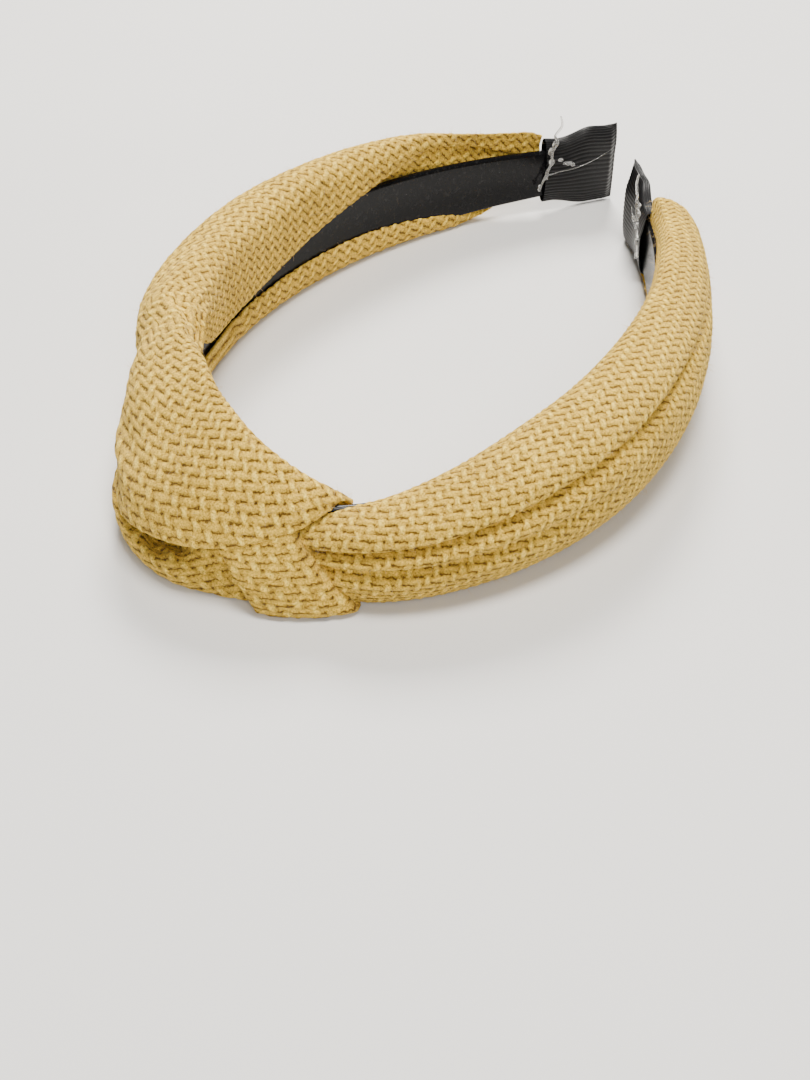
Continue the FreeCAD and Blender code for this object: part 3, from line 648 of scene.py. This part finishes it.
def weave_nodes(tree, column, row):
    """The same yarns as yarn_height draws, at the material's own fineness."""
    height = None
    for neighbour in (-1.0, 0.0, 1.0):
        this_row = calculate(tree, "ADD", calculate(tree, "FLOOR", row), neighbour)
        across = calculate(tree, "SUBTRACT", calculate(tree, "SUBTRACT", row, this_row), 0.5)
        phase = calculate(tree, "ADD", column, this_row)
        from_float = calculate(tree, "WRAP", calculate(tree, "SUBTRACT", phase, WEFT_MIDDLE), 1.5, -1.5)
        from_warp = calculate(tree, "WRAP", calculate(tree, "SUBTRACT", phase, WARP_MIDDLE), 1.5, -1.5)
        weft = calculate(tree, "MULTIPLY", lens_nodes(tree, across, WEFT_HALF_WIDTH),
                         lens_nodes(tree, from_float, WEFT_HALF_LENGTH))
        warp = calculate(tree, "MULTIPLY", lens_nodes(tree, across, WARP_HALF_LENGTH),
                         lens_nodes(tree, from_warp, WARP_HALF_WIDTH))
        here = calculate(tree, "MAXIMUM", calculate(tree, "MULTIPLY", weft, WEFT_LEVEL), warp)
        height = here if height is None else calculate(tree, "MAXIMUM", height, here)
    return height


def cloth_material():
    """Mustard-beige cotton, furry on the yarns' crowns, with painted shade between the yarns and a painted
    highlight on their crowns.
    """
    material, tree, shader, place = new_material("mustard_cotton_weave")
    flat = node(tree, "ShaderNodeSeparateXYZ")
    tree.links.new(node(tree, "ShaderNodeUVMap", uv_map="cloth").outputs["UV"], flat.inputs[0])
    u = calculate(tree, "DIVIDE", flat.outputs["X"], UV_PER_MM)
    v = calculate(tree, "DIVIDE", flat.outputs["Y"], UV_PER_MM)
    fray = noise(tree, place, 1300.0, 3.0, 0.6)
    fray_shift = calculate(tree, "MULTIPLY", calculate(tree, "SUBTRACT", fray, 0.5), 0.90)
    column = calculate(tree, "ADD", calculate(tree, "DIVIDE", u, COLUMN_PITCH), fray_shift)
    row = calculate(tree, "ADD", calculate(tree, "DIVIDE", v, ROW_PITCH), fray_shift)
    weave = weave_nodes(tree, column, row)
    fibre = noise(tree, place, 2300.0, 5.0, 0.85)
    twist_turns = calculate(tree, "ADD", calculate(tree, "MULTIPLY", u, 9.0),
                            calculate(tree, "MULTIPLY", v, 11.0))
    twist = calculate(tree, "SINE", twist_turns)
    # painted shade and painted highlight: by yarn height the colour runs from dark brown between the yarns,
    # through the mustard colour, to pale yellow on their crowns
    tone = ramp(tree, weave, [
        (0.00, (0.055, 0.026, 0.003)),
        (0.40, (0.155, 0.080, 0.008)),
        (0.60, (0.550, 0.338, 0.038)),
        (0.82, (0.770, 0.503, 0.064)),
        (1.00, (0.980, 0.705, 0.115)),
    ])
    patchy = ramp(tree, noise(tree, place, 70.0), [
        (0.30, (0.82, 0.80, 0.76)),
        (0.70, (1.06, 1.06, 1.06)),
    ])
    speckle = ramp(tree, fibre, [
        (0.38, (0.34, 0.28, 0.20)),
        (0.50, (1.00, 1.00, 1.00)),
        (0.62, (1.50, 1.54, 1.65)),
    ])
    colour = multiply_colour(tree, 1.0, tone, patchy)
    colour = multiply_colour(tree, 0.85, colour, speckle)
    tree.links.new(colour, shader.inputs["Base Color"])
    vary_roughness(tree, shader, weave, 0.98, 0.82)
    shader.inputs["Specular IOR Level"].default_value = 0.18
    shader.inputs["Sheen Weight"].default_value = 0.15
    shader.inputs["Sheen Roughness"].default_value = 0.5
    shader.inputs["Sheen Tint"].default_value = (1.0, 0.82, 0.45, 1.0)
    relief = calculate(tree, "ADD", weave, calculate(tree, "MULTIPLY", fibre, 0.9))
    relief = calculate(tree, "ADD", relief, calculate(tree, "MULTIPLY", twist, 0.05))
    raise_surface(tree, shader, relief, 0.75, 0.00042)
    return material


def fuzz_material():
    """Loose cotton hairs, paler than the yarn they came out of."""
    material, tree, shader, place = new_material("loose_cotton_fibre")
    tone = ramp(tree, noise(tree, place, 400.0), [
        (0.3, (0.50, 0.34, 0.14)),
        (0.7, (0.78, 0.60, 0.32)),
    ])
    tree.links.new(tone, shader.inputs["Base Color"])
    shader.inputs["Roughness"].default_value = 0.7
    shader.inputs["Specular IOR Level"].default_value = 0.3
    return material


def plastic_material():
    """Glossy black moulded plastic with faint flow marks and dust."""
    material, tree, shader, place = new_material("gloss_black_plastic")
    tone = ramp(tree, noise(tree, place, 900.0, 5.0, 0.7), [
        (0.55, (0.0042, 0.0042, 0.0048)),
        (0.80, (0.0300, 0.0290, 0.0280)),
    ])
    tree.links.new(tone, shader.inputs["Base Color"])
    vary_roughness(tree, shader, noise(tree, place, 60.0, 4.0), 0.12, 0.26)
    shader.inputs["Specular IOR Level"].default_value = 0.16
    raise_surface(tree, shader, noise(tree, place, 140.0, 2.0), 0.12, 0.0003)
    return material


def ribbon_material():
    """Black ribbed ribbon with a soft satin shine along its ribs, a painted sheen on the rib crests and
    painted shade in the grooves between them.
    """
    material, tree, shader, place = new_material("black_ribbed_ribbon")
    weave = node(tree, "ShaderNodeAttribute", attribute_name="weave").outputs["Fac"]
    # painted shade and painted sheen: the ribs' height makes the colour darker in the grooves and lighter on
    # the crests
    tone = ramp(tree, weave, [
        (0.0, (0.0012, 0.0012, 0.0014)),
        (1.0, (0.0130, 0.0130, 0.0140)),
    ])
    fibre = noise(tree, place, 4200.0)
    speckle = ramp(tree, fibre, [(0.3, (0.55, 0.55, 0.55)), (0.7, (1.4, 1.4, 1.4))])
    colour = multiply_colour(tree, 1.0, tone, speckle)
    tree.links.new(colour, shader.inputs["Base Color"])
    shader.inputs["Roughness"].default_value = 0.36
    shader.inputs["Specular IOR Level"].default_value = 0.20
    raise_surface(tree, shader, fibre, 0.4, 0.0001)
    return material


def glue_material():
    """Set hot-melt glue: milky, waxy and part see-through."""
    material, tree, shader, place = new_material("milky_set_glue")
    cloud = noise(tree, place, 300.0)
    tone = ramp(tree, cloud, [(0.3, (0.66, 0.66, 0.64)), (0.7, (0.92, 0.92, 0.90))])
    tree.links.new(tone, shader.inputs["Base Color"])
    shader.inputs["Roughness"].default_value = 0.14
    shader.inputs["Transmission Weight"].default_value = 0.86
    shader.inputs["IOR"].default_value = 1.48
    raise_surface(tree, shader, cloud, 0.3, 0.0003)
    return material


def film_material():
    """A clear film of glue, wet-looking over the black plastic under it."""
    material, tree, shader, place = new_material("clear_glue_film")
    vary_roughness(tree, shader, noise(tree, place, 500.0), 0.05, 0.25)
    shader.inputs["Base Color"].default_value = (0.95, 0.95, 0.93, 1.0)
    shader.inputs["Transmission Weight"].default_value = 1.0
    shader.inputs["IOR"].default_value = 1.3
    return material


def floor_material():
    """A plain pale matt surface."""
    material, tree, shader, place = new_material("pale_floor")
    tone = ramp(tree, noise(tree, place, 6.0), [
        (0.3, (0.70, 0.69, 0.67)),
        (0.7, (0.74, 0.73, 0.71)),
    ])
    tree.links.new(tone, shader.inputs["Base Color"])
    shader.inputs["Roughness"].default_value = 0.85
    return material


# ---------------------------------------------------------------- ribbon caps
def ribbon_cap(side, material):
    """A ribbed ribbon wrapped lengthwise round the tip, pinched flat at its cut end."""
    sign = SIGN[side]
    reach = along(-RIBBON_LENGTH - RIBBON_TUCK[side], RIBBON_OVERHANG, RIBBON_STEP)[:, None]
    turn = np.linspace(0.0, 2.0 * math.pi, 400)[None, :]
    widened = smoothstep((reach + RIBBON_LENGTH) / 10.0)
    low = 2.6 - 2.2 * widened
    high = 19.2 + 1.7 * widened + 0.35 * np.sin(reach / 1.9 + sign)
    pinch = smoothstep((RIBBON_OVERHANG - reach) / 2.2)
    half = 0.35 + 1.45 * pinch + 0.25 * smoothstep((-8.0 - reach) / 8.0)
    cosine = np.cos(turn)
    out = half * np.sign(cosine) * np.abs(cosine) ** (1.0 - RIBBON_SQUARENESS)
    up = 0.5 * (low + high) + 0.5 * (high - low) * np.sin(turn)
    wave = 0.40 * np.sin(up / 2.7 + reach / 4.2 + sign) * smoothstep((up - 12.0) / 6.0)
    curl = RIBBON_CURL[side] * smoothstep((reach + 9.0) / 9.0)
    points = band_point(sign * (line_length(side) + reach + 0.0 * turn), out + wave - curl, up)
    ribs = 0.5 + 0.5 * np.cos(RIBBON_RIBS * turn) + 0.0 * reach
    points = points + ring_normals(points) * (RIB_RELIEF * ribs)[..., None]
    points[..., 2] = np.maximum(points[..., 2], 0.05)
    u = reach + 0.0 * turn
    v = 8.0 * turn + 0.0 * reach
    # both caps are turned so that their faces look outwards
    order = (slice(None, None, -1 if side == "left" else 1), slice(None, None, -1))
    return grid_mesh("ribbon_cap_" + side, points[order], u[order], v[order], ribs[order], material)


def ring_normals(points):
    """Normals of a tube given as rings, away from each ring's middle."""
    normal = surface_normals(points)
    outside = points - points.mean(axis=1, keepdims=True)
    facing = np.sign((normal * outside).sum(axis=-1, keepdims=True))
    return normal * facing


# ---------------------------------------------------------------- glue
def blob(centre, size, lumps, seed):
    """An uneven bead of glue as rings of points, sized along, across and up."""
    rng = np.random.default_rng(seed)
    rings, sectors = 22, 28
    theta = np.linspace(0.02, math.pi - 0.02, rings)
    phi = np.linspace(0.0, 2.0 * math.pi, sectors, endpoint=False)
    swell = np.ones((rings, sectors))
    for _ in range(4):
        waves = rng.integers(1, 4, 2)
        swell += lumps * rng.uniform(0.4, 1.0) * (
            np.sin(waves[0] * theta + rng.uniform(0, 6))[:, None]
            * np.cos(waves[1] * phi + rng.uniform(0, 6))[None])
    along_part = np.sin(theta)[:, None] * np.cos(phi) * swell * size[0]
    across_part = np.sin(theta)[:, None] * np.sin(phi) * swell * size[1]
    up_part = np.cos(theta)[:, None] * swell * size[2]
    return band_point(centre[0] + along_part, centre[1] + across_part, centre[2] + up_part)


def closed_rings(points):
    """Vertices and quads of rings that close on themselves, with both ends filled."""
    rings, sectors = points.shape[:2]
    index = np.arange(rings * sectors).reshape(rings, sectors)
    after = np.roll(index, -1, axis=1)
    faces = np.stack([index[:-1], index[1:], after[1:], after[:-1]], axis=-1).reshape(-1, 4)
    ends = [index[0].tolist(), index[-1][::-1].tolist()]
    return points.reshape(-1, 3), faces.tolist() + ends


def string_tube(points, radii, sectors=10):
    """A thin string of glue through the points, as closed rings."""
    points = np.asarray(points, float)
    dense = np.linspace(0.0, len(points) - 1.0, 12 * len(points))
    line = spline(np.arange(len(points)), points, dense)
    radius = np.interp(dense, np.arange(len(points)), radii)
    tangent = np.gradient(line, axis=0)
    tangent /= np.linalg.norm(tangent, axis=1, keepdims=True)
    first = np.cross(tangent, [0.31, 0.83, 0.46])
    first /= np.linalg.norm(first, axis=1, keepdims=True)
    second = np.cross(tangent, first)
    turn = np.linspace(0.0, 2.0 * math.pi, sectors, endpoint=False)
    return line[:, None] + radius[:, None, None] * (
        first[:, None] * np.cos(turn)[:, None] + second[:, None] * np.sin(turn)[:, None])


def joined_mesh(name, parts, material, voxel=None):
    """One piece from several sets of rings, melted together where a voxel size is given."""
    vertices, faces = [], []
    for points in parts:
        part_vertices, part_faces = closed_rings(points)
        offset = len(vertices)
        vertices.extend((part_vertices * MM).tolist())
        faces.extend([[i + offset for i in face] for face in part_faces])
    mesh = bpy.data.meshes.new(name)
    mesh.from_pydata(vertices, [], faces)
    mesh.materials.append(material)
    piece = add_object(name, mesh)
    if voxel:
        melt = piece.modifiers.new("melt", "REMESH")
        melt.mode = "VOXEL"
        melt.voxel_size = voxel * MM
        relax = piece.modifiers.new("relax", "SMOOTH")
        relax.iterations = 3
        settle_modifiers(piece)
    mesh = piece.data
    mesh.polygons.foreach_set("use_smooth", np.ones(len(mesh.polygons), bool))
    return piece


def settle_modifiers(piece):
    """Keeps the mesh that the modifiers make, and removes them."""
    graph = bpy.context.evaluated_depsgraph_get()
    settled = bpy.data.meshes.new_from_object(piece.evaluated_get(graph))
    piece.modifiers.clear()
    piece.data = settled


def glue_beads(side, material):
    """Glue squeezed out where the ribbon meets the cloth, and the strings pulled off it."""
    seam = line_length(side) - RIBBON_LENGTH

    def spot(past_seam, outward, height):
        return (SIGN[side] * (seam + past_seam), RIBBON_SKIN[side] + outward, height)

    beads = [
        # past the seam, height, half length, half height
        (-0.7, 14.6, 0.7, 1.0),
        (-1.0, 17.4, 0.8, 1.1),
        (-1.9, 11.4, 0.5, 1.3),
        (-0.3, 19.4, 0.5, 0.8),
        (3.4, 13.6, 1.2, 0.45),
        (5.0, 12.9, 0.7, 0.5),
        (-3.5, 8.0, 0.5, 0.9),
        (1.6, 14.8, 0.7, 0.5),
    ]
    parts = []
    for number, (past_seam, height, wide, tall) in enumerate(beads):
        parts.append(blob(spot(past_seam, 0.0, height), (wide, 0.45, tall), 0.22, 20 + number))
    strings = (
        # past the seam, outward, height and the string's radius there
        ((-3.6, 0.1, 7.2, 0.26), (-1.8, 0.0, 11.8, 0.32), (-0.8, -0.1, 14.6, 0.34), (-0.9, -0.3, 17.6, 0.42),
         (0.2, -0.5, 20.2, 0.40), (-0.6, -0.7, 22.2, 0.32), (0.9, -0.8, 24.6, 0.32), (0.5, -0.7, 27.2, 0.22)),
        ((-2.4, 0.1, 11.0, 0.20), (2.0, 0.25, 11.4, 0.15), (6.0, 0.35, 11.6, 0.13), (11.0, 0.45, 13.0, 0.12),
         (15.6, 0.7, 15.0, 0.12)),
    )
    for string in strings:
        line = band_point(*np.array([spot(*place[:3]) for place in string]).T)
        parts.append(string_tube(line, [place[3] for place in string]))
    return joined_mesh("glue_beads_" + side, parts, material, GLUE_VOXEL)


# ---------------------------------------------------------------- loose fibres
def fibres(name, cloth, count, longest, material):
    """Short curled hairs that stand on a cloth, each a thin three-sided thread."""
    mesh = cloth.data
    places, normals = np.zeros((2, len(mesh.vertices) * 3))
    mesh.vertices.foreach_get("co", places)
    mesh.vertices.foreach_get("normal", normals)
    places = places.reshape(-1, 3) / MM
    normals = normals.reshape(-1, 3)
    chosen = RNG.choice(len(places), count, replace=False)
    root = places[chosen] - 0.15 * normals[chosen]
    lean = normals[chosen] + 0.9 * RNG.normal(size=(count, 3))
    lean /= np.linalg.norm(lean, axis=1, keepdims=True)
    curl = np.cross(lean, RNG.normal(size=(count, 3)))
    curl /= np.maximum(np.linalg.norm(curl, axis=1, keepdims=True), 1e-6)
    length = (RNG.uniform(0.5, 1.0, count) ** 2 * longest)[:, None]
    steps = np.linspace(0.0, 1.0, 6)
    bend = 1.4 * RNG.uniform(0.3, 1.1, count)[:, None]
    forward = length * np.sin(bend * steps) / bend
    sideways = length * (1.0 - np.cos(bend * steps))
    line = root[:, None] + lean[:, None] * forward[..., None] + curl[:, None] * sideways[..., None]
    radius = FIBRE_RADIUS * (1.0 - 0.6 * steps)
    other = np.cross(lean, curl)
    turn = (np.arange(3) * 2.0 * math.pi / 3.0)[:, None]
    ring = curl[:, None, None] * np.cos(turn) + other[:, None, None] * np.sin(turn)
    points = line[:, :, None] + ring * radius[:, None, None]
    points[..., 2] = np.maximum(points[..., 2], 0.02)
    index = np.arange(points.size // 3).reshape(points.shape[:3])
    after = np.roll(index, -1, axis=2)
    quads = np.stack([index[:, :-1], after[:, :-1], after[:, 1:], index[:, 1:]], axis=-1).reshape(-1, 4)
    return quad_mesh(name, points, quads, material)


# ---------------------------------------------------------------- stage, light and camera
def studio():
    """A pale floor, a dim even room and three soft lights."""
    edge = 3.0
    corners = [(-edge, -edge, 0.0), (edge, -edge, 0.0), (edge, edge, 0.0), (-edge, edge, 0.0)]
    floor_mesh = bpy.data.meshes.new("floor")
    floor_mesh.from_pydata(corners, [], [(0, 1, 2, 3)])
    floor_mesh.materials.append(floor_material())
    floor = add_object("floor", floor_mesh)
    floor.location.z = -0.0002

    world = bpy.data.worlds.new("soft_room")
    world.use_nodes = True
    background = world.node_tree.nodes["Background"]
    background.inputs["Color"].default_value = (0.92, 0.95, 1.0, 1.0)
    background.inputs["Strength"].default_value = 0.17
    bpy.context.scene.world = world
    area_light("rear_softbox", (-0.34, 0.48, 0.62), 0.30, 15.0, (1.0, 0.97, 0.92))
    area_light("overhead_softbox", (0.10, -0.05, 0.80), 0.25, 9.0, (1.0, 0.97, 0.92))
    area_light("front_fill", (0.50, -0.48, 0.62), 0.35, 4.4, (1.0, 0.98, 0.95))


def area_light(name, place, size, power, colour):
    """A square light that faces the band's middle."""
    light = bpy.data.lights.new(name, "AREA")
    light.size = size
    light.energy = power
    light.color = colour
    lamp = add_object(name, light)
    lamp.location = place
    direction = Vector((0.0, 0.0, 0.01)) - lamp.location
    lamp.rotation_euler = direction.to_track_quat("-Z", "Y").to_euler()


def camera():
    """The photograph's own viewing place."""
    view = bpy.data.cameras.new("camera")
    view.lens = EYE_LENS
    eye = add_object("camera", view)
    eye.location = (np.array(EYE) + SHIFT) * MM
    eye.rotation_euler = (0.5 * math.pi - EYE_PITCH, 0.0, EYE_HEADING)
    bpy.context.scene.camera = eye


# ---------------------------------------------------------------- assembly
def crosses_hinge(piece, side):
    """Bakes the piece's placement into its mesh. The places beside the hinge where a sleeve turns from the
    crown to the arm are found, but nothing uses them.
    """
    start, end = (band_point(SIGN[side] * distance, 0.0, CORE_MIDDLE) * MM for distance in HINGE_TURN)
    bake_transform(piece)


def dress(piece, body, slot, *stands_for):
    """Puts a piece on its body, in place of the CAD nodes it stands for."""
    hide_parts(*stands_for)
    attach(piece, body)


def core_strip(name, start, end, material):
    """Part of the plastic strip, its long edges rounded as they leave the mould."""
    distance = along(start, end, CORE_STEP)[:, None]
    side = "left" if end < 0.0 else "right"
    place = (band_point(distance, 0.0, 0.0) - SHIFT)[..., 1]
    tip_place = (band_point(SIGN[side] * line_length(side), 0.0, 0.0) - SHIFT)[1]
    tapered = np.clip((place - CORE_TAPER_START) / (tip_place - CORE_TAPER_START), 0.0, 1.0)
    half_width = CORE_HALF_WIDTH + (CORE_TIP_HALF_WIDTH - CORE_HALF_WIDTH) * tapered
    # no point falls on a quarter turn, where the section's straight sides join its corners
    turn = np.radians(np.arange(5.0, 365.0, 10.0))[None, :]
    radius = CORE_EDGE_RADIUS
    outward = radius * np.cos(turn) + (0.5 * CORE_THICKNESS - radius) * np.sign(np.cos(turn))
    height = CORE_MIDDLE + radius * np.sin(turn) + (half_width - radius) * np.sign(np.sin(turn))
    rings = band_point(distance, outward, height)
    return joined_mesh(name, [rings], material)


def glue_film(side, material):
    """The film of glue between the strip's inner face and the roll along the cloth's hem."""
    distance = SIGN[side] * along(FILM_START, FILM_END[side], 1.0)[:, None]
    near = -0.5 * CORE_THICKNESS - FILM_CLEARANCE
    far = near - FILM_THICKNESS
    low, high = FILM_HEIGHTS
    outward = np.array([[near, near, far, far]])
    height = np.array([[low, high, high, low]])
    rings = band_point(distance, outward, height)
    return joined_mesh("glue_film_%s_strip" % side, [rings], material)


def dress_cores(material):
    """The strip in three lengths, one on each body, with the hinges' gaps between them."""
    hinge = CROWN_ARC[0] * CROWN_ARC[1]
    gap = 0.5 * HINGE_GAP
    lengths = (
        ("core_crown", "crown", -hinge + gap, hinge - gap),
        ("core_left_arm", "left_arm", -line_length("left") + CORE_END, -hinge - gap),
        ("core_right_arm", "right_arm", hinge + gap, line_length("right") - CORE_END),
    )
    for node_name, body, start, end in lengths:
        dress(core_strip(node_name + "_strip", start, end, material), body, "core", node_name)


def paint(name, material):
    """Gives a CAD node that stays in view its material."""
    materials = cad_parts[name].data.materials
    materials.clear()
    materials.append(material)


def dress_sleeves(cotton, fluff):
    """The two long cloths with their loose hairs."""
    left = left_cloth(cotton)
    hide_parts("cover_left", "knot_over_wrap")
    right = right_cloth(cotton)
    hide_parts("cover_right")
    for side, cloth in (("left", left), ("right", right)):
        hairs = fibres("cloth_fibres_" + side, cloth, FIBRE_COUNT, FIBRE_LENGTH, fluff)
        for piece in (cloth, hairs):
            crosses_hinge(piece, side)


def dress_knot(cotton):
    """The three short cloths of the knot."""
    passes = (
        (tongue_cloth(cotton), ("knot_tongue",), TONGUE_FLAT),
        (under_wrap_cloth(cotton), ("knot_lower_pass", "knot_roll"), UNDER_WRAP_FLAT),
        (inner_pass_cloth(cotton), ("knot_inner_pass",), INNER_PASS_FLAT),
    )
    for piece, stands_for, flat in passes:
        dress(piece, "crown", "cloth", *stands_for)


def dress_tip(side, ribbed, glue, film):
    """The ribbon cap over a tip, and the glue that holds it and the sleeve."""
    arm = side + "_arm"
    cap = ribbon_cap(side, ribbed)
    dress(cap, arm, "ribbon", "ribbon_" + side)
    dress(glue_beads(side, glue), arm, "glue", "glue_" + side)
    dress(glue_film(side, film), arm, "glue", "glue_film_" + side)


def main():
    cotton = cloth_material()
    fluff = fuzz_material()
    ribbed = ribbon_material()
    glue = glue_material()
    film = film_material()
    dress_cores(plastic_material())
    paint("glue_film_knot", film)
    dress_sleeves(cotton, fluff)
    dress_knot(cotton)
    for side in ("left", "right"):
        dress_tip(side, ribbed, glue, film)
    studio()
    camera()


main()
